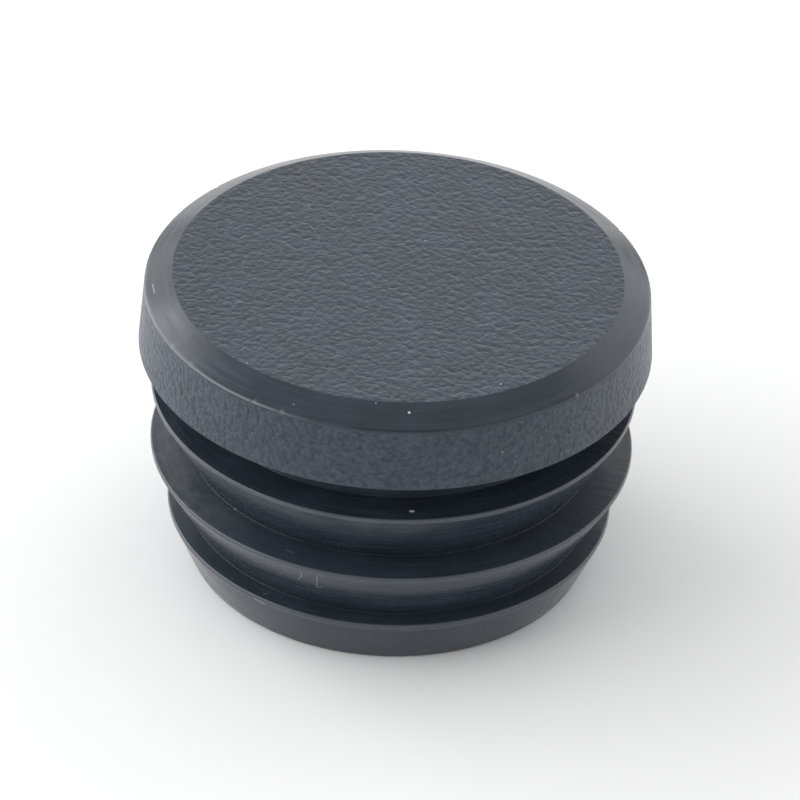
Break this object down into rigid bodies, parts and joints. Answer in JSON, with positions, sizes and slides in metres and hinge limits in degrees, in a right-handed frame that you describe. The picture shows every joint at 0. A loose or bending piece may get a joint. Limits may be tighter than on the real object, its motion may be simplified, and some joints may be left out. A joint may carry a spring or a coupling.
{
  "type": "tube end cap",
  "caption": "Round moulded plug that closes the end of a tube: flush chamfered head with a leather grain, sawtooth grip fins and a tapered hollow lead-in lip.",
  "frame": {"origin": "on the cap's axis, in the plane of the shoulder where the tube's end seats", "axes": "+Z along the axis, out of the tube towards the head's top face; X and Y are any two square directions, because the cap is round"},
  "size_m": [0.03, 0.03, 0.0189],
  "materials": {
    "moulded_polyethylene": "dark grey moulded polyethylene, leather grain on the top face and the head's side, smooth and half-glossy elsewhere"
  },
  "bodies": {
    "root": {"end_cap": "moulded_polyethylene"}
  },
  "joints": []
}
